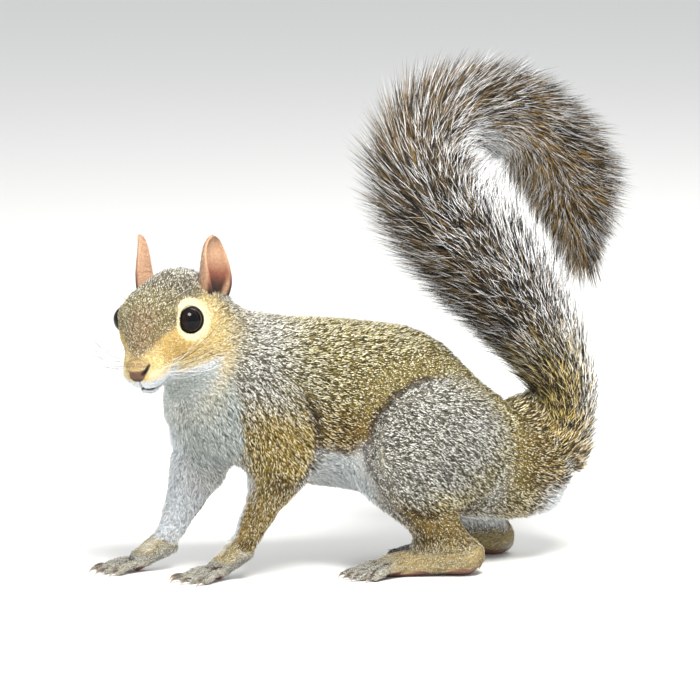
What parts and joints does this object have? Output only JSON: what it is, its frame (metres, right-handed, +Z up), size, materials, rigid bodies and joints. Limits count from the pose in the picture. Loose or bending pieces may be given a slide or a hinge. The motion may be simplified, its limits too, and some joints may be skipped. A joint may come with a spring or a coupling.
{
  "type": "grey squirrel",
  "caption": "Life-size still grey squirrel standing on all fours, head turned aside, bushy tail raised over its rump and curled backwards.",
  "frame": {"origin": "on the floor, under the middle of the whole animal's box", "axes": "-Y the way the body faces, +X the animal's left, +Z up"},
  "size_m": [0.086, 0.2372, 0.2197],
  "materials": {
    "coat": "short banded fur, matte",
    "ear": "thin skin with very short down",
    "eye": "wet gloss, nearly black"
  },
  "bodies": {
    "root": {"head": "coat", "ear_left": "ear", "ear_right": "ear", "eye_left": "eye", "eye_right": "eye", "neck": "coat", "trunk": "coat", "upper_leg_fore_left": "coat", "forearm_left": "coat", "foot_fore_left": "coat", "upper_leg_fore_right": "coat", "forearm_right": "coat", "foot_fore_right": "coat", "thigh_left": "coat", "shank_left": "coat", "foot_hind_left": "coat", "thigh_right": "coat", "shank_right": "coat", "foot_hind_right": "coat", "tail_root": "coat", "tail_middle": "coat", "tail_upper": "coat", "tail_tip": "coat"}
  },
  "joints": []
}
